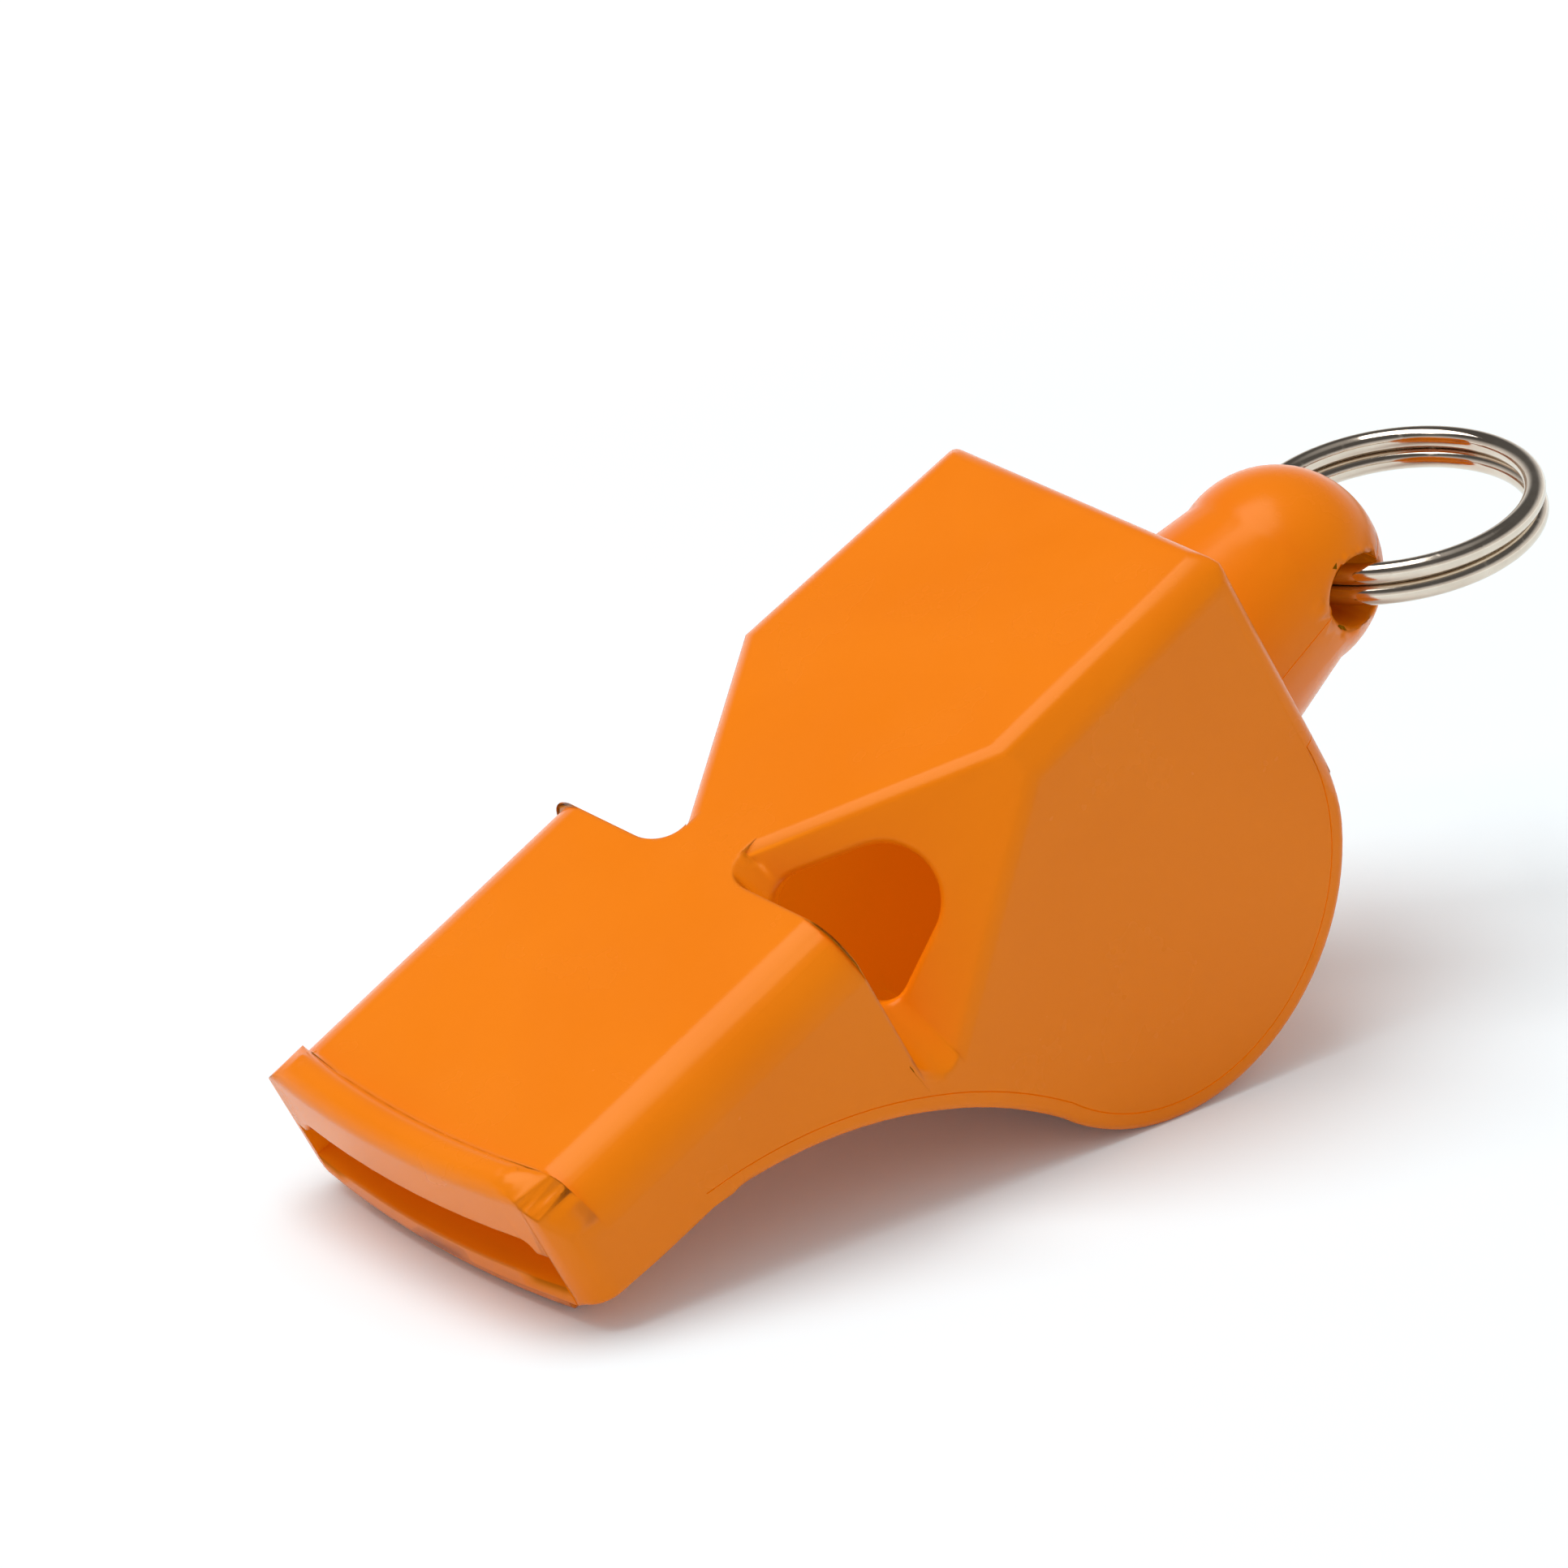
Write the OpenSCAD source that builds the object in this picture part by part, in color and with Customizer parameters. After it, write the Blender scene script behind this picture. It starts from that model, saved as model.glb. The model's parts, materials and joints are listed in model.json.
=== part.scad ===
// Pealess sports whistle: a round belly with two side chambers, a flat
// mouthpiece, two mouldings joined along a parting line, and a double-coil
// split ring through the lug at the back. X runs towards the mouthpiece and
// Z is up. The whistle lies on its belly and on its lower lip.

/* [Belly and top] */
// Radius of the round belly
belly_r = 10.5; // [6:0.1:18]
// Height of the flat top above the belly's centre
top_z = 11.7; // [7:0.1:20]
// Width of the body at its rear wall
rear_w = 19.7; // [10:0.1:30]
// Width of the mouthpiece, and of the body where they meet
front_w = 21.6; // [12:0.1:32]
// Radius along the top edges of the body
body_edge_r = 2.5; // [0.4:0.05:3]
// Radius of the upright rear corners
rear_corner_r = 1; // [0.3:0.1:2]
// Radius between the top and the rear wall
rear_top_r = 1.3; // [0.3:0.1:2.5]

/* [Mouthpiece] */
// Distance from the belly's centre to the rear face of the mouthpiece
mouth_x = 14.3; // [10:0.1:24]
// Distance from the belly's centre to the middle of the tip
tip_x = 33.3; // [24:0.1:50]
// How far the middle of the tip stands in front of its corners
tip_bow = 0.9; // [0.2:0.1:2]
// Radius of the tip's corners, seen from above
tip_corner_r = 1.6; // [0.4:0.1:3]
// Height of the mouthpiece's underside above the belly's centre
under_z = 5.75; // [3:0.05:9]
// Radius along the top edges of the mouthpiece
mouth_edge_r = 3.2; // [0.4:0.1:4.5]
// Radius of the arch under the neck
arch_r = 24.4; // [18:0.1:40]
// Distance from the belly's centre to the front end of the arch
arch_x = 25.6; // [20:0.1:32]
// Angle below the horizontal at which the arch meets the belly
arch_deg = 27; // [15:1:45]

/* [Tooth ridges] */
// Radius of the upper tooth ridge
tooth_r = 1.05; // [0.6:0.01:2]
// Height of the upper ridge above the flat top
tooth_rise = 0.9; // [0.3:0.05:1.5]
// Distance from the tip's front back to the middle of the upper ridge
tooth_back = 1.02; // [0.6:0.01:3]
// Radius of the lower tooth ridge
lip_r = 1.3; // [0.6:0.05:2]
// Distance from the mouthpiece's underside down to the lower ridge
lip_drop = 1.6; // [0.6:0.05:3]
// Distance from the tip's front back to the middle of the lower ridge
lip_back = 1.5; // [0.8:0.05:4]
// Width of the lower ridge between the side walls
lip_w = 16.6; // [10:0.1:26]
// Radius of the lower ridge's ends
lip_end_r = 1.5; // [0.4:0.1:3]

/* [Slanted sides] */
// Direction that the slanted sides face, as an angle from the X axis
slant_deg = 54.5; // [40:0.5:70]
// Steepness of the slanted sides
slant_dip = 54; // [40:0.5:70]
// Half of the width of the neck between the two slanted sides
neck_half = 2; // [1:0.05:4]
// Length of the neck's straight side at the top
neck_flat = 0.25; // [0.05:0.05:2]
// Radius of the round end of each notch at the neck
notch_r = 1.4; // [0.5:0.05:2.5]
// Radius at the bottom of the notch between slant and mouthpiece
groove_r = 1.4; // [0.5:0.05:2.5]

// Radius between the flat top and the slanted sides
slant_top_r = 1.6; // [0.3:0.05:2.5]
// Radius between the slanted sides and the upright sides
slant_side_r = 1.6; // [0.3:0.05:2.5]

/* [Windows and airways] */
// Radius of the window's corner next to the neck
window_neck_r = 1.5; // [0.5:0.05:3]
// Radius of the window's outer rear corner
window_rear_r = 2.5; // [0.5:0.05:3]
// Radius of the window's lower corner
window_low_r = 1.3; // [0.5:0.05:3]
// Distance from the top edge down the slant to the window
window_drop = 1.8; // [1:0.05:4]
// Length of the window along the top edge
window_len = 7.1; // [4:0.05:10]
// Depth of the window down the slant
window_deep = 6.6; // [4:0.05:9]
// Distance from the neck along the top edge to the window
window_in = 0.2; // [0:0.05:2]
// Distance from the neck along the top edge to the middle of the lower corner
window_low_x = 3.45; // [1:0.05:6]
// Height of the two airways from the mouth to the windows
airway_h = 1.9; // [1:0.05:3]
// Thickness of the floor under the airways
floor_t = 1.15; // [0.8:0.05:2]
// Thickness of the mouthpiece's side walls
mouth_wall = 1.6; // [0.8:0.1:3]
// How far the wide mouth reaches in before the middle wall starts
mouth_deep = 5; // [1:0.1:12]
// Extra height of the slot at the mouth
mouth_flare = 0.5; // [0:0.05:1.2]

/* [Walls] */
// Thickness of the top, the rear wall and the slanted walls
wall_t = 1.3; // [0.8:0.05:2.5]
// Thickness of the middle wall between the two chambers
web_t = 1.8; // [0.8:0.1:4]
// Thickness of the strip that closes the belly
strip_t = 0.8; // [0.6:0.05:2.5]
// Height of the parting line above the belly's centre
parting_z = 0.35; // [-2:0.1:2]
// Clearance along the parting line
seam_gap = 0.06; // [0.02:0.01:0.2]

/* [Lug] */
// Distance from the belly's centre back to the hole
hole_x = 18.25; // [14:0.05:26]
// Height of the hole above the belly's centre
hole_z = 0; // [-3:0.05:3]
// Diameter of the hole
hole_d = 3.4; // [2:0.05:5]
// Distance from the belly's centre back to the middle of the lug's round end
lug_x = 17.1; // [13:0.05:25]
// Height of the middle of the lug's round end above the belly's centre
lug_z = 0.56; // [-3:0.02:3]
// Radius of the lug's round end
lug_r = 4.8; // [3:0.1:7]
// Angle at which the lug widens towards the body, on each side
lug_flare = 8.3; // [0:0.1:14]
// Angle by which the lug's axis drops towards the body
lug_drop = 2.8; // [-8:0.1:8]
// Depth by which the lug's cone lies inside its round end
lug_hair = 0.04; // [0.02:0.01:0.1]
// Depth of the countersink at each end of the hole
sink_deep = 0.36; // [0:0.05:0.6]

/* [Split ring] */
// Outside diameter of the ring
ring_od = 14; // [9:0.1:24]
// Diameter of the ring's wire
wire_d = 1; // [0.6:0.05:1.6]
// Clearance between the ring and the hole at its tightest place
ring_play = 0.12; // [0.05:0.01:0.4]
// Clearance between the ring's two coils
coil_gap = 0.43; // [0.42:0.01:0.8]
// Angle by which the ring droops below the line of the flat top
ring_droop = 18.4; // [-20:0.1:60]
// Angle round the ring at which the wire crosses from coil to coil
cross_at = 318; // [0:1:360]
// Angle taken by the crossing
cross_span = 44; // [24:1:80]

/* [Hidden] */
$fn = 96;

// Depth by which rounded edges run into the upright sides, for clean cuts
edge_hair = seam_gap / 2;
// Whole-object reach, used as the size of the cutting blocks
reach = 2 * (tip_x + hole_x);
half_front = front_w / 2;
half_rear = rear_w / 2;
taper_deg = atan2(half_front - half_rear, mouth_x + belly_r + edge_hair);
floor_z = under_z + floor_t;
airway_z = floor_z + airway_h;
airway_half = half_front - mouth_wall;

// Arch under the neck: a circle through its two ends
arch_a = [belly_r * cos(arch_deg), -belly_r * sin(arch_deg)];
arch_b = [arch_x, under_z];
arch_chord = norm(arch_b - arch_a);
arch_mid = (arch_a + arch_b) / 2;
arch_dir = (arch_b - arch_a) / arch_chord;
arch_c = arch_mid + sqrt(arch_r * arch_r - arch_chord * arch_chord / 4) * [arch_dir[1], -arch_dir[0]];
// Corners of the front block, clear of both ends of the arch
arch_low = 1.15 * belly_r * [cos(arch_deg + 6), -sin(arch_deg + 6)];
arch_high = [arch_x + wall_t / 2, under_z - wall_t / 4];

// Bow of the tip, seen from above
tip_r = (half_front * half_front + tip_bow * tip_bow) / (2 * tip_bow);
tooth_x = tip_x - tooth_back;
tooth_z = top_z + tooth_rise - tooth_r;
lip_x = tip_x - lip_back;
lip_z = under_z - lip_drop + lip_r;

// Slanted plane: its outward direction and its distance from the centre
slant_n = [sin(slant_dip) * cos(slant_deg), sin(slant_dip) * sin(slant_deg), cos(slant_dip)];
slant_p = [mouth_x - notch_r - neck_flat, neck_half, top_z];
slant_c = slant_n * slant_p;
groove_m = sqrt(slant_n[1] * slant_n[1] + slant_n[2] * slant_n[2]);
groove_deg = atan2(slant_n[2], slant_n[1]);
groove_z = (slant_c - slant_n[0] * mouth_x) / slant_n[2];

// Slanted plane against the upright side
side_n = [-sin(taper_deg), cos(taper_deg), 0];
side_cos = slant_n * side_n;
side_sin = sqrt(1 - side_cos * side_cos);
side_pitch = atan2(slant_n[0] * cos(taper_deg) + slant_n[1] * sin(taper_deg), slant_n[2]);
side_z = (slant_c - slant_n[0] * mouth_x - slant_n[1] * half_front) / slant_n[2];

// Half of the lug's width at the hole's middle
hole_off = [hole_x - lug_x, hole_z - lug_z];
hole_face = sqrt(lug_r * lug_r - hole_off * hole_off);

// Rest on the table: the line that touches the belly and the lower ridge
lip_far = norm([lip_x, lip_z]);
rest_deg = atan2(lip_z, lip_x) + asin((belly_r - lip_r) / lip_far);

// Ring
ring_r = (ring_od - wire_d) / 2;
coil_pitch = wire_d + coil_gap;
ring_rings = 84;
ring_sides = 12;
ring_end = cross_span / 2 + 4;
// The ring lies forward in the hole, both coils a little off its wall
hole_room = (hole_d - wire_d) / 2 - ring_play;
ring_seat = ring_r - sqrt(hole_room * hole_room - coil_pitch * coil_pitch / 4);

// Where the whistle stands along X, so that its middle is at the origin
hole_back = -hole_x * cos(rest_deg) + hole_z * sin(rest_deg);
ring_rise = rest_deg - ring_droop;
rear_end = hole_back - (ring_seat + ring_r) * cos(ring_rise) - wire_d / 2 - coil_pitch / 2 * sin(ring_rise);
front_end = tooth_x * cos(rest_deg) + tooth_z * sin(rest_deg) + tooth_r;
place_x = -(front_end + rear_end) / 2;

// One end of the outer tangent between two circles [x, y, r]
function tangent_n(a, b) =
    let (d = [b[0] - a[0], b[1] - a[1]], t = atan2(d[1], d[0]) - acos((a[2] - b[2]) / norm(d)))
    [cos(t), sin(t)];
function tangent_pts(a, b) =
    let (n = tangent_n(a, b))
    [[a[0] + a[2] * n[0], a[1] + a[2] * n[1]], [b[0] + b[2] * n[0], b[1] + b[2] * n[1]]];

// Convex outline round a list of circles [x, y, r], given anticlockwise
module rounded(cs) {
    n = len(cs);
    polygon([for (i = [0 : n - 1]) each tangent_pts(cs[i], cs[(i + 1) % n])]);
    for (c = cs)
        if (c[2] > 0)
            translate([c[0], c[1]])
                circle(c[2]);
}

// Extrusion across the width, drawn in the side view
module across(w) {
    rotate([90, 0, 0])
        linear_extrude(w, center = true)
            children();
}

// Extrusion along X of an outline drawn in Y and Z
module along(l) {
    rotate([90, 0, 90])
        linear_extrude(l, center = true)
            children();
}

// Both sides of a shape drawn for the left side
module both() {
    children();
    mirror([0, 1, 0])
        children();
}

// Side view of the body's front, above the arch
module above_arch(lift) {
    difference() {
        polygon([[0, 0], arch_low, arch_high, [arch_high[0], top_z], [0, top_z]]);
        translate(arch_c)
            circle(arch_r + lift);
    }
}

// Side view of the whole body without its ridges
module side_outline() {
    circle(belly_r);
    above_arch(0);
    difference() {
        translate([-belly_r, 0])
            square([belly_r + arch_a[0] / 2, top_z]);
        translate([-belly_r - edge_hair, top_z + edge_hair])
            difference() {
                square(2 * rear_top_r, center = true);
                translate([rear_top_r, -rear_top_r])
                    circle(rear_top_r);
            }
    }
    translate([mouth_x, under_z])
        square([reach, top_z - under_z]);
}

// Top view of the whole body
module top_outline() {
    rear_x = rear_corner_r - belly_r - edge_hair;
    rear_y = half_front - (mouth_x - rear_x) * tan(taper_deg) - rear_corner_r / cos(taper_deg);
    tip_y = half_front - tip_corner_r;
    tip_cx = tip_x - tip_r + sqrt(pow(tip_r - tip_corner_r, 2) - tip_y * tip_y);
    difference() {
        intersection() {
            polygon([
                [-belly_r - edge_hair, -half_rear], [mouth_x, -half_front], [reach, -half_front],
                [reach, half_front], [mouth_x, half_front], [-belly_r - edge_hair, half_rear]
            ]);
            translate([tip_x - tip_r, 0])
                circle(tip_r, $fn = 240);
        }
        for (s = [0, 1])
            mirror([0, s]) {
                difference() {
                    translate([tip_cx, tip_y])
                        square(reach);
                    translate([tip_cx, tip_y])
                        circle(tip_corner_r);
                }
                difference() {
                    translate([rear_x - reach, rear_y])
                        square(reach);
                    translate([rear_x, rear_y])
                        circle(rear_corner_r);
                }
            }
    }
}

// Block that rounds the two long top edges between two upright sides
module edge_block(half, height, r) {
    along(2 * reach)
        rounded([[-half, -reach, 0], [half, -reach, 0], [half - r, height - r, r], [r - half, height - r, r]]);
}

// Block that rounds the top edge of the tapered body on the left side
module body_side() {
    translate([mouth_x, half_front + edge_hair - reach, 0])
        rotate([0, 0, taper_deg])
            edge_block(reach, top_z + edge_hair, body_edge_r);
}

// Body and mouthpiece before the notches and hollows are cut
module blank() {
    intersection() {
        union() {
            intersection() {
                across(2 * reach)
                    side_outline();
                union() {
                    intersection() {
                        body_side();
                        mirror([0, 1, 0])
                            body_side();
                        translate([mouth_x + edge_hair - reach, -reach / 2, -reach])
                            cube([reach, reach, 2 * reach]);
                    }
                    intersection() {
                        edge_block(half_front + edge_hair, top_z + edge_hair, mouth_edge_r);
                        translate([mouth_x, -reach / 2, -reach])
                            cube([reach, reach, 2 * reach]);
                    }
                }
            }
            tooth_ridge();
        }
        translate([0, 0, -reach])
            linear_extrude(2 * reach)
                top_outline();
    }
}

// Upper ridge along the bowed tip: a wall with a round top and rounded ends
module tooth_ridge() {
    intersection() {
        translate([tip_x - tip_r, 0, 0])
            rotate_extrude($fn = 240)
                translate([tip_r - tooth_back, tooth_z]) {
                    circle(tooth_r);
                    translate([-tooth_r + edge_hair, under_z + wall_t - tooth_z])
                        square([2 * tooth_r, tooth_z - under_z - wall_t]);
                }
        translate([mouth_x, -reach, under_z + tooth_r])
            cube([reach, 2 * reach, reach]);
        edge_block(half_front + edge_hair, top_z + tooth_rise + edge_hair, mouth_edge_r + tooth_rise);
    }
}

// Region beside the neck and behind the mouthpiece, on the left side
module beside_neck() {
    translate([0, 0, -reach])
        linear_extrude(2 * reach)
            rounded([
                [mouth_x - reach, neck_half, 0], [mouth_x - notch_r, neck_half + notch_r, notch_r],
                [mouth_x, reach, 0], [mouth_x - reach, reach, 0]
            ]);
}

// Notch between the slanted side and the mouthpiece, on the left side
module notch() {
    cy = groove_r * (1 + slant_n[0]) / groove_m;
    intersection() {
        translate([mouth_x, 0, groove_z])
            rotate([groove_deg, 0, 0])
                linear_extrude(2 * reach, center = true)
                    rounded([
                        [-groove_r, cy, groove_r], [0, reach, 0],
                        [-reach, reach, 0], [-reach, reach * slant_n[0] / groove_m, 0]
                    ]);
        beside_neck();
    }
    top_round();
    side_round();
}

// Round edge between the flat top and the slant, on the left side
module top_round() {
    c = slant_top_r - edge_hair;
    t = c * tan(slant_dip / 2);
    far = c + seam_gap;
    intersection() {
        translate(slant_p)
            rotate([0, 0, slant_deg - 90])
                along(reach)
                    difference() {
                        polygon([
                            [-t, -c], [-t, seam_gap], [seam_gap, seam_gap],
                            [far * sin(slant_dip) - t, far * cos(slant_dip) - c]
                        ]);
                        translate([-t, -c])
                            circle(slant_top_r);
                    }
        beside_neck();
    }
}

// Round edge between the slant and the upright side, on the left side
module side_round() {
    r = slant_side_r;
    c = r - edge_hair;
    zc = -c * (1 - side_cos) / side_sin;
    far = c + seam_gap;
    intersection() {
        translate([mouth_x, half_front, side_z])
            rotate([0, side_pitch, taper_deg])
                along(2 * reach)
                    difference() {
                        polygon([
                            [-c, zc], [seam_gap, zc], [seam_gap, seam_gap],
                            [side_cos * far - c, side_sin * far + zc]
                        ]);
                        translate([-c, zc])
                            circle(r);
                    }
        translate([-reach, 0, -reach])
            cube([reach + mouth_x - groove_r * (1 + slant_n[0]), reach, 2 * reach]);
    }
}

// Outline of the window, drawn on the slanted plane
module window_outline() {
    rounded([
        [window_in + window_neck_r, -window_drop - window_neck_r, window_neck_r],
        [window_low_x, -window_drop - window_deep + window_low_r, window_low_r],
        [window_in + window_len - window_rear_r, -window_drop - window_rear_r, window_rear_r]
    ]);
}

// Window through the slanted wall, on the left side
module window_cut() {
    intersection() {
        translate(slant_p - 2 * wall_t * slant_n)
            rotate([slant_dip, 0, slant_deg + 90])
                linear_extrude(reach)
                    window_outline();
        beside_neck();
    }
}

// Hollow of one chamber, on the left side
module chamber() {
    inner = belly_r - strip_t;
    intersection() {
        difference() {
            translate([0, (half_rear - wall_t + web_t / 2) / 2, 0])
                across(half_rear - wall_t - web_t / 2) {
                    circle(inner + seam_gap);
                    difference() {
                        translate([-belly_r + wall_t, 0])
                            square([belly_r + mouth_x - 2 * wall_t, top_z - wall_t]);
                        translate(arch_c)
                            circle(arch_r + strip_t + wall_t);
                    }
                }
            // Inner face of the slanted wall
            translate(slant_p - wall_t * slant_n)
                rotate([slant_dip, 0, slant_deg + 90])
                    translate([-reach, -reach, 0])
                        cube([2 * reach, 2 * reach, reach]);
        }
        translate([-reach, 0, -reach])
            cube([reach + mouth_x, reach, 2 * reach]);
    }
}

// Airway from the mouth to one window, on the left side
module airway() {
    translate([mouth_x - wall_t, web_t / 2, floor_z])
        cube([reach, airway_half - web_t / 2, airway_h]);
}

// Wide slot at the mouth
module mouth_slot() {
    w = airway_half - lip_end_r;
    translate([tip_x - mouth_deep, 0, 0])
        rotate([90, 0, 90])
            linear_extrude(reach)
                rounded([
                    [-w, floor_z - floor_t / 2, 0], [w, floor_z - floor_t / 2, 0],
                    [w, airway_z, mouth_flare], [-w, airway_z, mouth_flare]
                ]);
}

// Half outline of the lug, turned about its own axis
module lug_profile() {
    r = lug_r - lug_hair;
    l = lug_x - belly_r / 2;
    intersection() {
        circle(lug_r);
        translate([0, -lug_r])
            square(2 * lug_r);
    }
    polygon([[0, 0], r * [cos(lug_flare), sin(lug_flare)],
             [r / cos(lug_flare) + l * tan(lug_flare), l], [0, l]]);
}

// Solid lug: a round end and a cone that widens towards the body
module lug_blank() {
    difference() {
        translate([-lug_x, 0, lug_z])
            rotate([0, 90 + lug_drop, 0])
                rotate_extrude()
                    lug_profile();
        across(2 * reach) {
            circle(belly_r - strip_t / 2);
            translate([-belly_r + wall_t / 2, -belly_r + strip_t])
                square(2 * reach);
        }
    }
}

// Hole across the lug with a countersink at each end
module lug_hole() {
    translate([-hole_x, 0, hole_z])
        rotate([90, 0, 0]) {
            cylinder(h = 4 * lug_r, d = hole_d, center = true);
            for (s = [0, 1])
                mirror([0, 0, s])
                    translate([0, 0, hole_face - sink_deep])
                        cylinder(h = lug_r, d1 = hole_d, d2 = hole_d + 2 * lug_r);
        }
}

// Lower ridge between the side walls
module lip_ridge() {
    w = lip_w / 2 - lip_end_r;
    intersection() {
        translate([tip_x - tip_r, 0, 0])
            rotate_extrude($fn = 240)
                translate([tip_r - lip_back, lip_z])
                    circle(lip_r);
        translate([mouth_x, 0, 0])
            rotate([90, 0, 90])
                linear_extrude(reach)
                    rounded([
                        [-w, lip_z - lip_r + lip_end_r, lip_end_r], [w, lip_z - lip_r + lip_end_r, lip_end_r],
                        [lip_w / 2, floor_z, 0], [-lip_w / 2, floor_z, 0]
                    ]);
    }
}

// Side view of the upper moulding: all that lies inside the strip
module upper_side(gap) {
    circle(belly_r - strip_t - gap);
    difference() {
        translate([-reach, parting_z + gap])
            square([2 * reach, reach]);
        translate(arch_c)
            circle(arch_r + strip_t + gap);
    }
    above_arch(strip_t + gap);
    translate([arch_x, under_z - seam_gap])
        square([reach, reach]);
}

// Space of the floor plate between the side walls
module floor_space(gap) {
    translate([arch_x - (arch_x - mouth_x) / 2 - gap, -airway_half - gap, -reach])
        cube([reach, 2 * (airway_half + gap), reach + floor_z + gap]);
}

module upper_shell() {
    color([0.95, 0.53, 0.1])
        difference() {
            intersection() {
                union() {
                    blank();
                    lug_blank();
                }
                across(2 * reach)
                    upper_side(seam_gap / 2);
            }
            both() {
                notch();
                window_cut();
                chamber();
                airway();
            }
            lug_hole();
            mouth_slot();
            floor_space(seam_gap / 2);
        }
}

module lower_shell() {
    color([0.93, 0.5, 0.09]) {
        difference() {
            union() {
                blank();
                lug_blank();
            }
            difference() {
                across(2 * reach)
                    upper_side(-seam_gap / 2);
                floor_space(-seam_gap / 2);
            }
            lug_hole();
        }
        lip_ridge();
    }
}

// Path of the ring's wire: two flat coils and one crossing
function ring_turn(t) = ring_end + t * (720 - 2 * ring_end);
function ring_step(a) =
    let (k = min(1, max(0, (a - 360 + cross_span / 2) / cross_span)))
    k * k * (3 - 2 * k) - 0.5;
function ring_point(t) =
    let (a = ring_turn(t))
    [ring_r * cos(a + cross_at), ring_r * sin(a + cross_at), coil_pitch * ring_step(a)];

module ring_wire() {
    n = ring_rings;
    m = ring_sides;
    path = [for (i = [0 : n]) ring_point(i / n)];
    pts = [
        for (i = [0 : n])
            let (
                a = ring_turn(i / n) + cross_at,
                out = [cos(a), sin(a), 0],
                dir = path[min(n, i + 1)] - path[max(0, i - 1)],
                fwd = dir / norm(dir),
                up = cross(out, fwd)
            )
            for (j = [0 : m - 1])
                path[i] + wire_d / 2 * (cos(360 * j / m) * out + sin(360 * j / m) * up)
    ];
    sides = [
        for (i = [0 : n - 1], j = [0 : m - 1])
            let (a = i * m + j, b = i * m + (j + 1) % m)
            each [[a, b, b + m], [a, b + m, a + m]]
    ];
    caps = [
        for (j = [1 : m - 2])
            each [[0, j + 1, j], [n * m, n * m + j, n * m + j + 1]]
    ];
    polyhedron(points = pts, faces = concat(sides, caps));
    gaps = [
        for (i = [0 : n], k = [0 : n])
            if (k - i > n / 6)
                norm(path[i] - path[k]) - wire_d
    ];
    echo(least_ring_gap = min(gaps));
}

module split_ring() {
    color([0.8, 0.78, 0.75])
        translate([-hole_x, 0, hole_z])
            rotate([0, -ring_droop, 0])
                translate([-ring_seat, 0, 0])
                    ring_wire();
}

// The whistle laid down on its belly and lower lip
module laid() {
    translate([place_x, 0, belly_r])
        rotate([0, rest_deg, 0])
            children();
}

laid() upper_shell();
laid() lower_shell();
laid() split_ring();
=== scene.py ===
# %% [markdown]
# # A pealess sports whistle
# This lesson dresses a finished CAD model of a small orange whistle. The CAD
# gives three solids: an upper moulding, a lower moulding and a double-coil
# split ring. We keep their places, soften their edges as a mould would, give
# them real finishes, and set them on a white table under soft light.

# %% Load the CAD frame
import math

import bmesh
import bpy
from mathutils import Matrix, Vector
from mathutils.bvhtree import BVHTree
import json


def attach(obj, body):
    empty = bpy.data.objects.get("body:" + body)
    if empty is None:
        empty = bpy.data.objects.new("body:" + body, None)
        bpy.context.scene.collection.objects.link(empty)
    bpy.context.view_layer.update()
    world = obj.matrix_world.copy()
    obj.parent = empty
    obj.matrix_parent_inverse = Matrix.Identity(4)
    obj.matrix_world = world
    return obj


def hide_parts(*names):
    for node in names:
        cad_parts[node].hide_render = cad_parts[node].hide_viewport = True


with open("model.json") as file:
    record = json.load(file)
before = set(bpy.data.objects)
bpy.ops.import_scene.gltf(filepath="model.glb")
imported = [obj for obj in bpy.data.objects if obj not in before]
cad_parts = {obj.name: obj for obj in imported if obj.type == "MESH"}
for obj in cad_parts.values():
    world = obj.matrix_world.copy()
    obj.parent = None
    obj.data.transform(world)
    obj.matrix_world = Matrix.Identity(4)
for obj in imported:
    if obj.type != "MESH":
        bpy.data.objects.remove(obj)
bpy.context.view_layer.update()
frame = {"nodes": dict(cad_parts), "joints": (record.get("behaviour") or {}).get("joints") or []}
scene = bpy.context.scene

# %% [markdown]
# The photograph was taken with a long lens, from above the whistle's left
# shoulder. A long lens flattens the perspective, so the camera stands half a
# metre from an object of sixty millimetres. Its three axes are written as the
# columns of a matrix, because that keeps the slight roll of the real camera.

# %% Camera
camera_data = bpy.data.cameras.new("photo_camera")
camera = bpy.data.objects.new("photo_camera", camera_data)
scene.collection.objects.link(camera)
camera_place = Vector((0.295246, 0.393344, 0.227074))
right = Vector((-0.794394, 0.605084, -0.053016))
up = Vector((-0.279696, -0.286926, 0.916212))
back = Vector((0.539173, 0.742662, 0.397172))
axes = Matrix((right, up, back)).transposed()
camera.matrix_world = Matrix.Translation(camera_place) @ axes.to_4x4()
camera_data.sensor_width = 36
camera_data.lens = 279.66
camera_data.clip_start, camera_data.clip_end = 0.01, 20
scene.camera = camera
print("camera distance:", round(camera_place.length, 3), "m, looks along", [round(-v, 3) for v in back])

# %% [markdown]
# Every material below is a small tree of nodes. Three short helpers keep the
# trees readable. One adds a node and sets its inputs, one links sockets, and
# one makes a ramp between two colours, at two places along the mask it reads.

# %% Node helpers
def add_node(tree, kind, values=None, **settings):
    node = tree.nodes.new(kind)
    for key, value in settings.items():
        setattr(node, key, value)
    for key, value in (values or {}).items():
        node.inputs[key].default_value = value
    return node


def wire(tree, *pairs):
    for source, target in pairs:
        tree.links.new(source, target)


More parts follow.
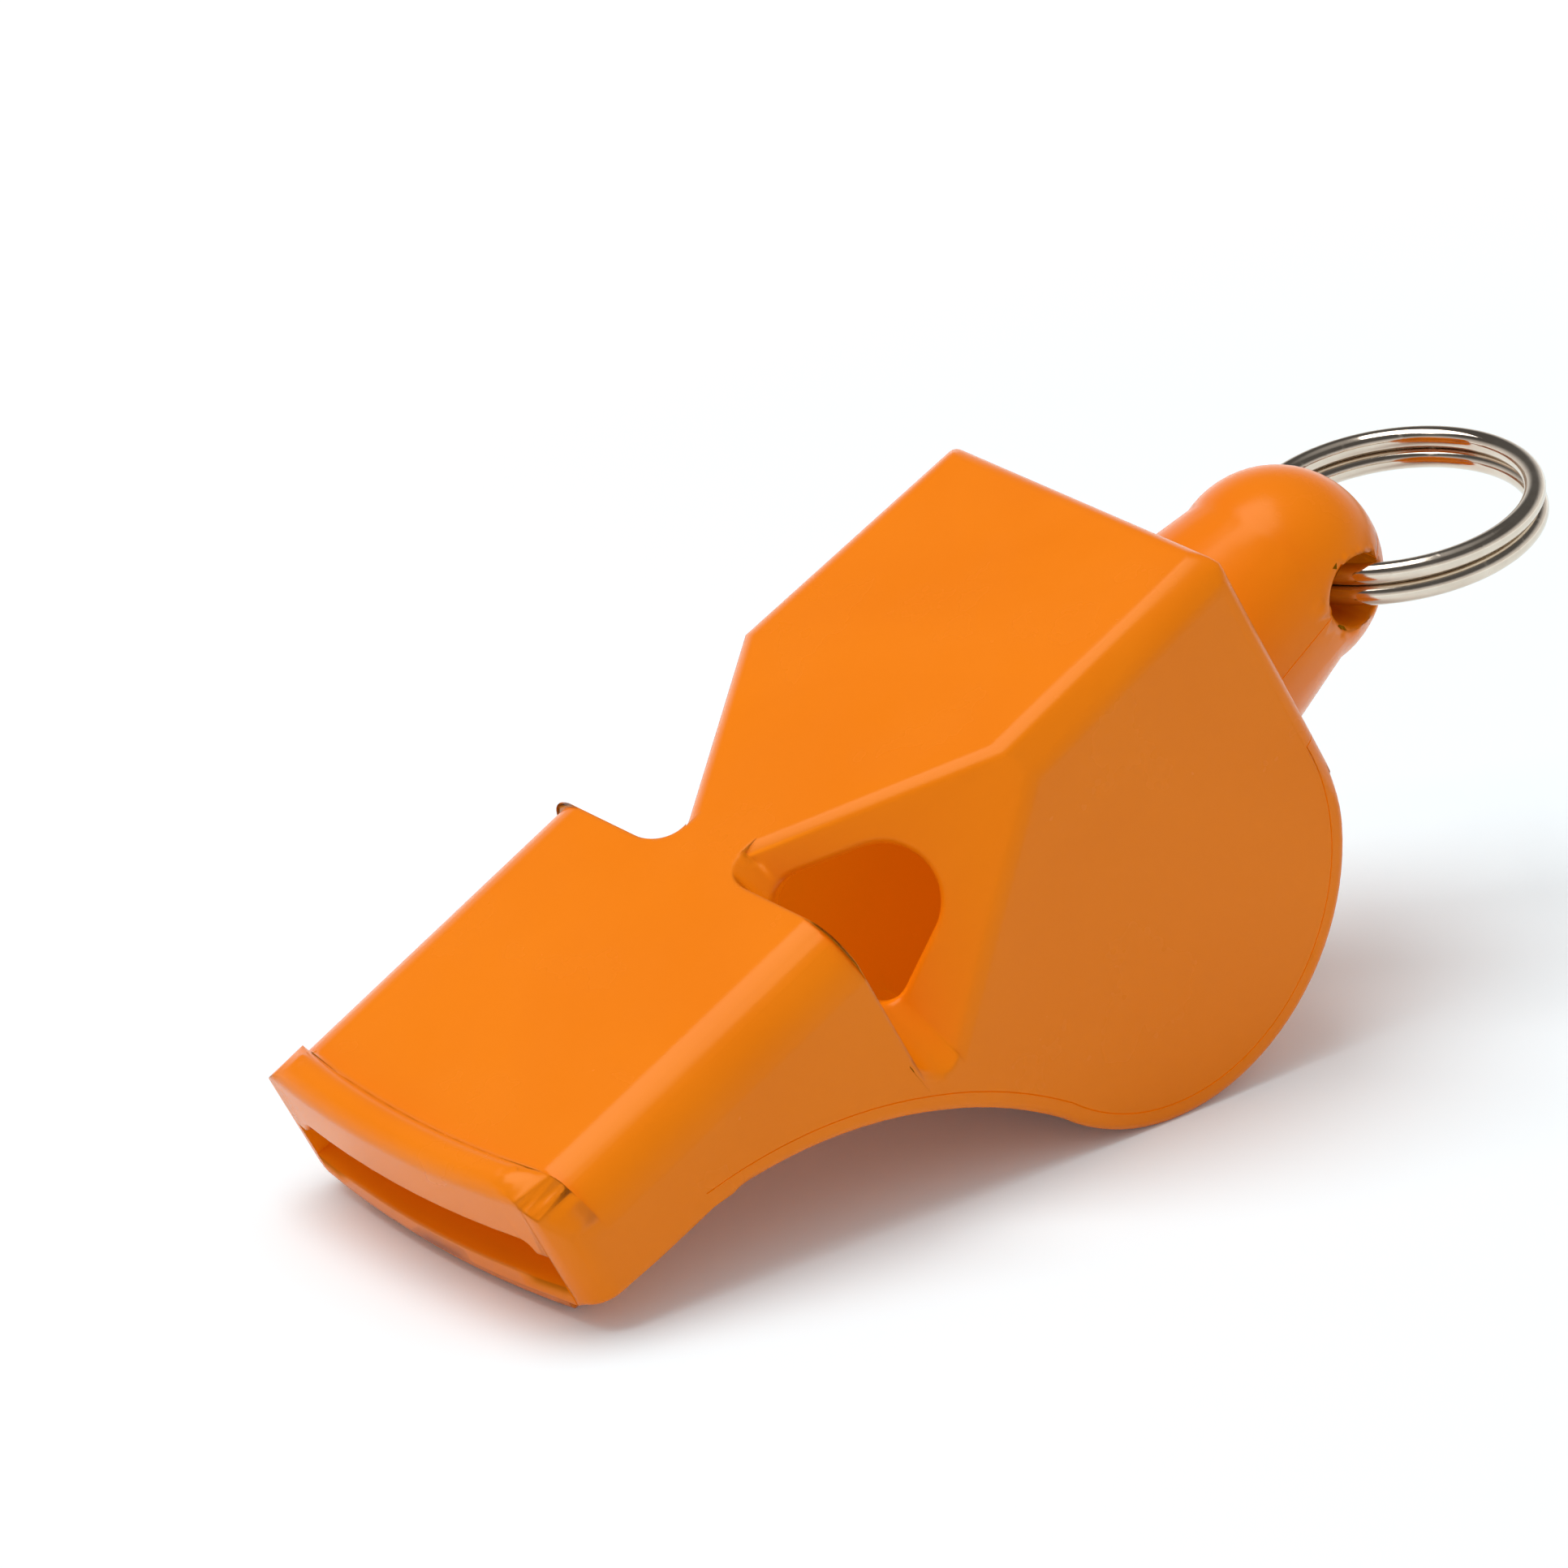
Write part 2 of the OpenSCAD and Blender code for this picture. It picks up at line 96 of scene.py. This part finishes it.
def colour_ramp(tree, low, high):
    ramp = add_node(tree, "ShaderNodeValToRGB")
    for stop, (place, colour) in zip(ramp.color_ramp.elements, (low, high)):
        stop.position = place
        stop.color = (*colour, 1)
    return ramp


print("helpers: add_node, wire, colour_ramp")


# %% [markdown]
# Handling leaves the same marks on the plastic and on the metal: short hair
# scratches that cross each other, and soft clouds where the gloss is a little
# duller. One shader group makes both masks, and each finish chooses their size.
# A second helper turns the masks into a roughness, which every finish needs.

# %% Group: handling marks
def build_marks():
    group = bpy.data.node_groups.new("handling_marks", "ShaderNodeTree")
    for label, kind in (("Vector", "NodeSocketVector"), ("Cloud Scale", "NodeSocketFloat"),
                        ("Scratch Scale", "NodeSocketFloat")):
        group.interface.new_socket(label, in_out="INPUT", socket_type=kind)
    for label in ("Clouds", "Scratches"):
        group.interface.new_socket(label, in_out="OUTPUT", socket_type="NodeSocketFloat")
    start = group.nodes.new("NodeGroupInput")
    end = group.nodes.new("NodeGroupOutput")
    cloud = add_node(group, "ShaderNodeTexNoise", {"Detail": 4.0, "Roughness": 0.6})
    wire(group, (start.outputs["Vector"], cloud.inputs["Vector"]),
         (start.outputs["Cloud Scale"], cloud.inputs["Scale"]),
         (cloud.outputs["Fac"], end.inputs["Clouds"]))
    line_turns, line_stretch = (0.4, 1.5, 2.7), 0.04
    lines = []
    for turn in line_turns:
        stretch = add_node(group, "ShaderNodeMapping",
                           {"Rotation": (turn, turn * 0.7, turn), "Scale": (1.0, line_stretch, 1.0)})
        noise = add_node(group, "ShaderNodeTexNoise", {"Detail": 1.0, "Roughness": 0.4})
        keep = add_node(group, "ShaderNodeMapRange", {"From Min": 0.7, "From Max": 0.78})
        wire(group, (start.outputs["Vector"], stretch.inputs["Vector"]),
             (stretch.outputs["Vector"], noise.inputs["Vector"]),
             (start.outputs["Scratch Scale"], noise.inputs["Scale"]),
             (noise.outputs["Fac"], keep.inputs["Value"]))
        lines.append(keep.outputs["Result"])
    two_lines = add_node(group, "ShaderNodeMath", operation="MAXIMUM")
    all_lines = add_node(group, "ShaderNodeMath", operation="MAXIMUM")
    wire(group, (lines[0], two_lines.inputs[0]), (lines[1], two_lines.inputs[1]),
         (two_lines.outputs[0], all_lines.inputs[0]), (lines[2], all_lines.inputs[1]),
         (all_lines.outputs[0], end.inputs["Scratches"]))
    return group


handling_marks = build_marks()
print("group:", handling_marks.name, "with", len(handling_marks.nodes), "nodes")


# %% Worn gloss for any finish
def worn_gloss(material, cloud_scale, scratch_scale, smoothest, roughest, scratch_depth):
    tree = material.node_tree
    place = add_node(tree, "ShaderNodeTexCoord")
    marks = add_node(tree, "ShaderNodeGroup", node_tree=handling_marks)
    marks.inputs["Cloud Scale"].default_value = cloud_scale
    marks.inputs["Scratch Scale"].default_value = scratch_scale
    gloss = add_node(tree, "ShaderNodeMapRange",
                     {"From Min": 0.3, "From Max": 0.7, "To Min": smoothest, "To Max": roughest})
    scuff = add_node(tree, "ShaderNodeMath", {1: scratch_depth}, operation="MULTIPLY")
    rough = add_node(tree, "ShaderNodeMath", operation="ADD", use_clamp=True)
    wire(tree, (place.outputs["Object"], marks.inputs["Vector"]),
         (marks.outputs["Clouds"], gloss.inputs["Value"]),
         (marks.outputs["Scratches"], scuff.inputs[0]),
         (gloss.outputs["Result"], rough.inputs[0]), (scuff.outputs[0], rough.inputs[1]),
         (rough.outputs[0], tree.nodes["Principled BSDF"].inputs["Roughness"]))
    return place, marks


print("helper: worn_gloss")


# %% [markdown]
# The body is moulded in a bright orange plastic with a soft gloss. It is a
# little translucent: inside the closed chambers hardly any light comes in by
# the windows, and what one sees there has come through the thin walls and
# turned a deeper orange. That light is painted: a very faint orange emission,
# a painted glow, stands for it, and an attribute that says how enclosed a
# place is keeps it inside. The colour drifts slightly, as pigment does when it
# flows, and a faint ripple bends each highlight. A Bevel node bends the normals
# at each edge that stays sharp, and another attribute takes that away beside
# the parting line.

# %% Material: orange plastic
edge_radius = 0.0003
deep_orange, light_orange = (0.82, 0.192, 0.002), (0.85, 0.207, 0.003)
painted_glow_orange = (0.125, 0.052, 0)


def orange_plastic(name):
    material = bpy.data.materials.new(name)
    material.use_nodes = True
    tree = material.node_tree
    shader = tree.nodes["Principled BSDF"]
    shader.inputs["IOR"].default_value = 1.49
    shader.inputs["Specular IOR Level"].default_value = 0.3
    shader.inputs["Specular Tint"].default_value = (1.0, 0.72, 0.4, 1)
    shader.inputs["Emission Strength"].default_value = 1.0
    place, _ = worn_gloss(material, 160.0, 1100.0, 0.22, 0.29, 0.006)
    flow = add_node(tree, "ShaderNodeTexNoise", {"Scale": 60.0, "Detail": 3.0, "Distortion": 1.2})
    tone = colour_ramp(tree, (0.3, deep_orange), (0.7, light_orange))
    wire(tree, (place.outputs["Object"], flow.inputs["Vector"]), (flow.outputs["Fac"], tone.inputs["Fac"]),
         (tone.outputs["Color"], shader.inputs["Base Color"]))
    # painted glow: a faint orange emission where the plastic is enclosed stands for light through the walls
    closed = add_node(tree, "ShaderNodeAttribute", attribute_name="enclosed")
    painted_glow_ramp = colour_ramp(tree, (0.5, (0, 0, 0)), (0.85, painted_glow_orange))
    wire(tree, (closed.outputs["Fac"], painted_glow_ramp.inputs["Fac"]),
         (painted_glow_ramp.outputs["Color"], shader.inputs["Emission Color"]))
    free = add_node(tree, "ShaderNodeAttribute", attribute_name="away_from_seam")
    radius = add_node(tree, "ShaderNodeMath", {1: edge_radius}, operation="MULTIPLY")
    soft = add_node(tree, "ShaderNodeBevel", samples=8)
    ripple = add_node(tree, "ShaderNodeTexNoise", {"Scale": 1800.0, "Detail": 1.0})
    bump = add_node(tree, "ShaderNodeBump", {"Strength": 0.02, "Distance": 0.00005})
    wire(tree, (free.outputs["Fac"], radius.inputs[0]), (radius.outputs[0], soft.inputs["Radius"]),
         (place.outputs["Object"], ripple.inputs["Vector"]), (ripple.outputs["Fac"], bump.inputs["Height"]),
         (soft.outputs["Normal"], bump.inputs["Normal"]), (bump.outputs["Normal"], shader.inputs["Normal"]))
    return material


plastic = orange_plastic("gloss_orange_plastic")
print("plastic:", len(plastic.node_tree.nodes), "nodes")


# %% [markdown]
# The ring is steel wire with a nickel plating. Nickel is a warm, slightly
# yellow metal. Drawn wire keeps very fine lines along its length, and the
# plating dulls a little where fingers and cord rub it.

# %% Material: nickel wire
dull_nickel, bright_nickel = (0.64, 0.54, 0.44), (0.76, 0.67, 0.56)


def nickel_wire(name):
    material = bpy.data.materials.new(name)
    material.use_nodes = True
    tree = material.node_tree
    shader = tree.nodes["Principled BSDF"]
    shader.inputs["Metallic"].default_value = 1.0
    _, marks = worn_gloss(material, 400.0, 2400.0, 0.07, 0.16, 0.14)
    tone = colour_ramp(tree, (0.3, dull_nickel), (0.7, bright_nickel))
    bump = add_node(tree, "ShaderNodeBump", {"Strength": 0.06, "Distance": 0.00005})
    wire(tree, (marks.outputs["Clouds"], tone.inputs["Fac"]),
         (tone.outputs["Color"], shader.inputs["Base Color"]),
         (marks.outputs["Scratches"], bump.inputs["Height"]),
         (bump.outputs["Normal"], shader.inputs["Normal"]))
    return material


nickel = nickel_wire("nickel_plated_wire")
print("nickel:", len(nickel.node_tree.nodes), "nodes")


# %% [markdown]
# Operators act on what is selected, so one helper selects a single piece and
# leaves edit mode. Another makes a tree of a mesh's faces, which answers where
# the nearest face is and whether a ray meets one. The two attributes that the
# plastic reads are measured with such trees: how far a point is from the other
# moulding, and the share of directions in which a face's corner sees plastic.

# %% Helpers for attributes
parting_reach = 0.0004
ray_count, ray_reach, lowest_ray = 40, 0.03, 0.05
inward_share, clear_of_face = 0.02, 0.00005


def only(obj):
    if bpy.context.object and bpy.context.object.mode != "OBJECT":
        bpy.ops.object.mode_set(mode="OBJECT")
    bpy.ops.object.select_all(action="DESELECT")
    obj.select_set(True)
    bpy.context.view_layer.objects.active = obj


def surface_of(mesh):
    return BVHTree.FromPolygons([v.co for v in mesh.vertices], [p.vertices for p in mesh.polygons])


def mark_seam(mesh, other):
    near = surface_of(other)
    away = [0.0 if near.find_nearest(v.co)[3] < parting_reach else 1.0 for v in mesh.vertices]
    mesh.attributes.new("away_from_seam", "FLOAT", "POINT").data.foreach_set("value", away)
    print("seam points:", away.count(0.0), "of", len(away))


def even_directions(count):
    golden = math.pi * (3 - math.sqrt(5))
    directions = []
    for i in range(count):
        z = 1 - (2 * i + 1) / count
        flat = Vector((math.sin(golden * i), math.cos(golden * i), 0))
        directions.append(flat * math.sqrt(1 - z * z) + Vector((0, 0, z)))
    return directions


def mark_enclosed(mesh, other):
    trees = [surface_of(mesh), surface_of(other)]
    directions = even_directions(ray_count)
    share = []
    for face in mesh.polygons:
        ahead = [d for d in directions if d.dot(face.normal) > lowest_ray]
        for index in face.vertices:
            start = mesh.vertices[index].co.lerp(face.center, inward_share) + face.normal * clear_of_face
            hits = sum(any(t.ray_cast(start, d, ray_reach)[0] for t in trees) for d in ahead)
            share.append(hits / len(ahead))
    mesh.attributes.new("enclosed", "FLOAT", "CORNER").data.foreach_set("value", share)
    print("corners with plastic all round:", share.count(1.0), "of", len(share))


# %% [markdown]
# A mould can't make a perfectly sharp edge, so a Bevel modifier rounds each
# sharp edge that has a bevel weight. It can throw a point off the surface where
# narrow triangles meet. So it is tried on a spare copy first, and edges near
# such a point lose their weight. The parting line stays as fine as a hair, and
# edges in front of a given place are left out too, which the lower lip needs.

# %% Helpers for the edge radius
sharp_angle, edge_segments = math.radians(40), 3
parting_gap, spoilt_reach, thrown_share = 0.00015, 0.0009, 0.5


def weigh_edges(mesh, other, skip, front):
    near = surface_of(other)
    cage = bmesh.new()
    cage.from_mesh(mesh)
    layers = cage.edges.layers.float
    weight = layers.get("bevel_weight_edge") or layers.new("bevel_weight_edge")
    count = 0
    for edge in cage.edges:
        ends = [v.co for v in edge.verts]
        sharp = edge.calc_face_angle(0) > sharp_angle
        seam = any(near.find_nearest(p)[3] < parting_gap for p in ends)
        spoilt = any((q - p).length < spoilt_reach for q in skip for p in ends)
        left_out = seam or spoilt or min(p.x for p in ends) > front
        edge[weight] = float(sharp and not left_out)
        count += int(edge[weight])
    cage.to_mesh(mesh)
    cage.free()
    return count


def round_edges(piece):
    bevel = piece.modifiers.new("mould_radius", "BEVEL")
    bevel.limit_method, bevel.width, bevel.segments = "WEIGHT", edge_radius, edge_segments
    bevel.use_clamp_overlap, bevel.loop_slide = False, False
    only(piece)
    bpy.ops.object.modifier_apply(modifier=bevel.name)


def spoilt_points(piece):
    before = surface_of(piece.data)
    spare = bpy.data.objects.new("spare", piece.data.copy())
    scene.collection.objects.link(spare)
    round_edges(spare)
    corners = [v.co.copy() for v in piece.data.vertices]
    found = []
    for v in spare.data.vertices:
        if before.find_nearest(v.co)[3] > thrown_share * edge_radius:
            found.append(min(corners, key=lambda c: (c - v.co).length_squared))
    bpy.data.objects.remove(spare)
    return found


print("helpers: weigh_edges, round_edges, spoilt_points")


# %% [markdown]
# Each moulding is a copy of its CAD solid, whose large roundings are already
# true shapes. Its loose triangles are welded and its flat faces are joined, so
# that no seam between triangles shows in the gloss. After the edges are
# rounded, the normals follow the large flat faces first.

# %% Soft-edged mouldings
weld_gap, flat_angle, smooth_angle = 1e-6, math.radians(0.5), math.radians(28)
most_trials, past_every_edge, behind_lower_lip = 12, 1.0, 0.022


def soft_moulding(node, other, name, front):
    neighbour = frame["nodes"][other].data
    piece = bpy.data.objects.new(name, frame["nodes"][node].data.copy())
    scene.collection.objects.link(piece)
    only(piece)
    bpy.ops.object.mode_set(mode="EDIT")
    bpy.ops.mesh.select_all(action="SELECT")
    bpy.ops.mesh.remove_doubles(threshold=weld_gap)
    bpy.ops.mesh.dissolve_limited(angle_limit=flat_angle)
    bpy.ops.object.mode_set(mode="OBJECT")
    skip = []
    for trial in range(most_trials):
        count = weigh_edges(piece.data, neighbour, skip, front)
        found = spoilt_points(piece)
        print(name, "trial", trial, "edges to round:", count, "points thrown off:", len(found))
        if not found:
            break
        skip += found
    round_edges(piece)
    bpy.ops.object.shade_smooth_by_angle(angle=smooth_angle)
    even = piece.modifiers.new("flat_faces_first", "WEIGHTED_NORMAL")
    even.mode, even.weight, even.keep_sharp = "FACE_AREA", 100, True
    bpy.ops.object.modifier_apply(modifier=even.name)
    mark_seam(piece.data, neighbour)
    mark_enclosed(piece.data, neighbour)
    piece.data.materials.clear()
    piece.data.materials.append(plastic)
    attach(piece, "whistle")
    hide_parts(node)


soft_moulding("upper_shell", "lower_shell", "upper_moulding", past_every_edge)
soft_moulding("lower_shell", "upper_shell", "lower_moulding", behind_lower_lip)

# %% [markdown]
# The split ring is one wire wound twice. We spin a small circle almost two
# full turns round the ring's axis, then lift each cross-section by a smooth
# step, so that the first coil climbs onto the second in one short crossing.
# The wire and the coil have the CAD's sizes. Only the pitch is smaller, because
# the real coils touch, and the CAD keeps them apart so that they don't fuse.

# %% Split ring
wire_r, coil_r, pitch = 0.0005, 0.0065, 0.00103
cross_deg, cross_span, free_deg, rows, sides = 318, 44, 26, 192, 24
turn_deg = 720 - 2 * free_deg
bpy.ops.object.select_all(action="DESELECT")
bpy.ops.mesh.primitive_circle_add(vertices=sides, radius=wire_r, location=(coil_r, 0, 0),
                                  rotation=(math.pi / 2, 0, 0))
ring = bpy.context.object
ring.name = "double_coil_ring"
bpy.ops.object.transform_apply(location=True, rotation=True, scale=True)
bpy.ops.object.mode_set(mode="EDIT")
bpy.ops.mesh.select_all(action="SELECT")
bpy.ops.mesh.spin(steps=rows, angle=math.radians(turn_deg), center=(0, 0, 0), axis=(0, 0, 1))
bpy.ops.object.mode_set(mode="OBJECT")
verts = ring.data.vertices
first = verts[sides].co
spin_sign = 1 if math.atan2(first.y, first.x) > 0 else -1
print("ring rows:", len(verts) / sides, "spin sign:", spin_sign)

# %% [markdown]
# The crossing lifts the later cross-sections above the earlier ones. Then the
# wire's two open ends are closed by a face each, as a cropped wire's are.

# %% Ring crossing
for row in range(rows + 1):
    around = free_deg + turn_deg * row / rows
    k = min(1, max(0, (around - 360 + cross_span / 2) / cross_span))
    smooth_step = k * k * (3 - 2 * k)
    lift = pitch * (smooth_step - 0.5)
    for v in verts[row * sides:(row + 1) * sides]:
        v.co.z += lift
only(ring)
bpy.ops.object.mode_set(mode="EDIT")
bpy.ops.mesh.select_all(action="DESELECT")
bpy.ops.mesh.select_mode(type="EDGE")
bpy.ops.mesh.select_non_manifold()
bpy.ops.mesh.edge_face_add()
bpy.ops.mesh.select_all(action="SELECT")
bpy.ops.mesh.normals_make_consistent(inside=False)
bpy.ops.object.mode_set(mode="OBJECT")
print("ring faces:", len(ring.data.polygons))

# %% [markdown]
# The ring hangs in the lug's hole, which is also its hinge. Its middle lies
# behind the hole by its seat, and the ring droops below the slope of the
# whistle's top, as it does in the photograph.

# %% Ring in its place
hole = Vector(frame["joints"][0]["pos_m"])
seat, top_slope, droop = 0.0056, 26.2929, 18.4
rise = math.radians(top_slope - droop)
start = Matrix.Rotation(math.radians(cross_deg) + math.radians(free_deg) * spin_sign, 4, "Z")
tilt = Matrix.Rotation(rise, 4, "Y")
ring.matrix_world = Matrix.Translation(hole) @ tilt @ Matrix.Translation((-seat, 0, 0)) @ start
only(ring)
bpy.ops.object.transform_apply(location=True, rotation=True, scale=True)
bpy.ops.object.shade_smooth_by_angle(angle=math.radians(50))
ring.data.materials.clear()
ring.data.materials.append(nickel)
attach(ring, "ring")
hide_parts("split_ring")
print("ring box mm:", [round(v * 1000, 2) for c in (min, max) for v in
                       [c(p.co[i] for p in ring.data.vertices) for i in range(3)]])

# %% [markdown]
# The photograph's table is pure white, yet the whistle still throws a soft
# grey shadow on it. The floor is a plain white surface, and only rays from
# the camera, from gloss and through clear things see a little extra light in
# it, so the orange body gets no more light than the lamps give. That extra
# grows away from the whistle, where the lamp no longer reaches.

# %% Floor
bpy.ops.object.select_all(action="DESELECT")
bpy.ops.mesh.primitive_plane_add(size=6, location=(0, 0, 0))
floor = bpy.context.object
floor.name = "white_table"
paper = bpy.data.materials.new("white_table")
paper.use_nodes = True
paper_tree = paper.node_tree
base = paper_tree.nodes["Principled BSDF"]
base.inputs["Base Color"].default_value = (0.86, 0.93, 0.96, 1)
base.inputs["Roughness"].default_value = 0.9
base.inputs["Specular IOR Level"].default_value = 0.0
path = add_node(paper_tree, "ShaderNodeLightPath")
seen = add_node(paper_tree, "ShaderNodeMath", operation="MAXIMUM")
seen_all = add_node(paper_tree, "ShaderNodeMath", operation="MAXIMUM")
spot = add_node(paper_tree, "ShaderNodeTexCoord")
away = add_node(paper_tree, "ShaderNodeVectorMath", operation="LENGTH")
fade = add_node(paper_tree, "ShaderNodeMapRange",
                {"From Min": 0.08, "From Max": 0.6, "To Min": 0.04, "To Max": 0.6})
lift_light = add_node(paper_tree, "ShaderNodeMath", operation="MULTIPLY")
base.inputs["Emission Color"].default_value = (1, 1, 1, 1)
wire(paper_tree, (path.outputs["Is Camera Ray"], seen.inputs[0]),
     (path.outputs["Is Glossy Ray"], seen.inputs[1]),
     (seen.outputs[0], seen_all.inputs[0]), (path.outputs["Is Transmission Ray"], seen_all.inputs[1]),
     (spot.outputs["Object"], away.inputs[0]), (away.outputs["Value"], fade.inputs["Value"]),
     (seen_all.outputs[0], lift_light.inputs[0]), (fade.outputs["Result"], lift_light.inputs[1]),
     (lift_light.outputs[0], base.inputs["Emission Strength"]))
floor.data.materials.append(paper)
print("floor at z =", floor.location.z)

# %% [markdown]
# One large soft lamp stands high above the whistle, in front of its mouthpiece
# and on the side away from the camera, so the shadow falls back and towards us.
# The world fills the rest. Reflections see a darker band near the horizon, as
# they do in a studio, and that draws the dark lines in the nickel wire.

# %% Lamp
lamp_place, lamp_target = Vector((0.22, -0.12, 0.76)), Vector((0, 0, 0.01))
lamp_data = bpy.data.lights.new("top_softbox", "AREA")
lamp_data.shape, lamp_data.size, lamp_data.size_y, lamp_data.energy = "RECTANGLE", 0.6, 0.6, 4.5
lamp = bpy.data.objects.new("top_softbox", lamp_data)
scene.collection.objects.link(lamp)
lamp.location = lamp_place
lamp.rotation_euler = (lamp_target - lamp_place).to_track_quat("-Z", "Y").to_euler()
print("lamp:", lamp.name, "at", [round(v, 2) for v in lamp.location])

# %% World
fill_strength = 0.55
room_tones = ((0.0, 0.9), (0.22, 0.7), (0.5, 0.1), (0.85, 0.1), (1.0, 0.4))
world = bpy.data.worlds.new("studio") if scene.world is None else scene.world
scene.world = world
world.use_nodes = True
sky = world.node_tree
sky.nodes.clear()
out = add_node(sky, "ShaderNodeOutputWorld")
look = add_node(sky, "ShaderNodeTexCoord")
height = add_node(sky, "ShaderNodeSeparateXYZ")
room = add_node(sky, "ShaderNodeValToRGB")
stops = room.color_ramp.elements
for place, _ in room_tones[1:-1]:
    stops.new(place)
for stop, (_, tone) in zip(stops, room_tones):
    stop.color = (tone, tone, tone, 1)
fill = add_node(sky, "ShaderNodeBackground", {"Color": (1, 1, 1, 1), "Strength": fill_strength})
mirror = add_node(sky, "ShaderNodeBackground", {"Strength": 1.0})
plain = add_node(sky, "ShaderNodeBackground", {"Color": (1, 1, 1, 1), "Strength": 1.0})
rays = add_node(sky, "ShaderNodeLightPath")
gloss_mix = add_node(sky, "ShaderNodeMixShader")
camera_mix = add_node(sky, "ShaderNodeMixShader")
wire(sky, (look.outputs["Generated"], height.inputs[0]), (height.outputs["Z"], room.inputs["Fac"]),
     (room.outputs["Color"], mirror.inputs["Color"]),
     (rays.outputs["Is Glossy Ray"], gloss_mix.inputs[0]),
     (fill.outputs[0], gloss_mix.inputs[1]), (mirror.outputs[0], gloss_mix.inputs[2]),
     (rays.outputs["Is Camera Ray"], camera_mix.inputs[0]),
     (gloss_mix.outputs[0], camera_mix.inputs[1]), (plain.outputs[0], camera_mix.inputs[2]),
     (camera_mix.outputs[0], out.inputs["Surface"]))
scene.view_settings.view_transform = "Standard"
print("reflected room:", [(round(stop.position, 2), round(stop.color[0], 2)) for stop in stops])

# %% Import json
import json
